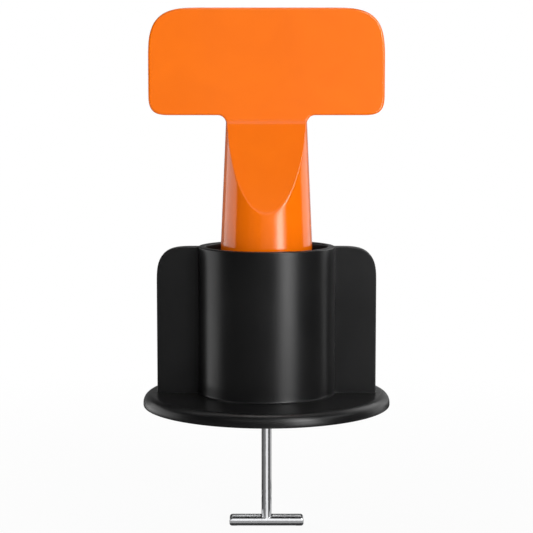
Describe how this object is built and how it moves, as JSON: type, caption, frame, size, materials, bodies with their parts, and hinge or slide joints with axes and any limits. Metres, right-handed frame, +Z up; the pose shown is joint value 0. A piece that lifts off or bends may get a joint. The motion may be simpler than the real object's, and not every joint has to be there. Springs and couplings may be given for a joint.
{
  "type": "tile levelling clip",
  "caption": "Reusable screw-down tile levelling clip: a T-handled screw in a winged round foot draws up a steel T pin that grips under the tiles.",
  "frame": {"origin": "centre of the foot's underside, the face that presses on the tiles", "axes": "+Z up along the screw and the pin, +X along the wings, the plate and the crossbar"},
  "size_m": [0.032, 0.032, 0.067],
  "materials": {
    "base": "satin black moulding",
    "handle": "glossy orange moulding",
    "pin": "bright steel"
  },
  "bodies": {
    "base": {"base": "base"},
    "pin": {"pin": "pin"},
    "handle": {"handle": "handle"}
  },
  "joints": [
    {"name": "pin_lift", "type": "slide", "parent": "base", "child": "pin", "axis": [0, 0, 1], "range_m": [0, 0.01]},
    {"name": "handle_turn", "type": "hinge", "parent": "pin", "child": "handle", "pos_m": [0, 0, 0.0045], "axis": [0, 0, -1], "range_deg": [0, 900]}
  ],
  "couplings": [
    {"joint": "pin_lift", "follows": "handle_turn", "m_per_rad": 0.00063662}
  ]
}
